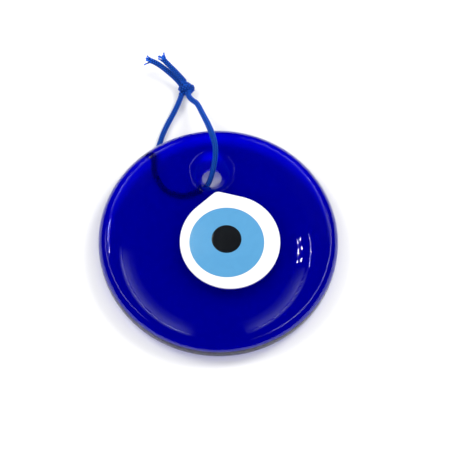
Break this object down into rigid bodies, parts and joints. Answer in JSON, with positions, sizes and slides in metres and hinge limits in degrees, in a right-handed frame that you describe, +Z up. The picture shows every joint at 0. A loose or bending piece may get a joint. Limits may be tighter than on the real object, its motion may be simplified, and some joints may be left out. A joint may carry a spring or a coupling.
{
  "type": "evil eye ornament",
  "caption": "Round glass disc with a fused glass eye in a shallow dish, hung by a knotted braided cord through a funnel shaped hole.",
  "frame": {"origin": "the surface that the ornament lies on, under the middle of the glass disc", "axes": "+Z up, out of the face with the eye; +Y toward the hanging hole; +X to the right of the eye"},
  "size_m": [0.08, 0.1102, 0.0134],
  "materials": {
    "cobalt_glass": "clear cobalt blue glass, fire polished",
    "white_glass": "opaque white glass, gloss",
    "sky_blue_glass": "opaque sky blue glass, gloss",
    "black_glass": "opaque black glass, gloss",
    "braided_cord": "braided nylon cord, slight sheen"
  },
  "bodies": {
    "root": {"glass_disc": "cobalt_glass", "eye_white": "white_glass", "eye_iris": "sky_blue_glass", "eye_pupil": "black_glass", "cord_loop": "braided_cord", "cord_knot": "braided_cord", "cord_tail_left": "braided_cord", "cord_tail_right": "braided_cord"}
  },
  "joints": []
}
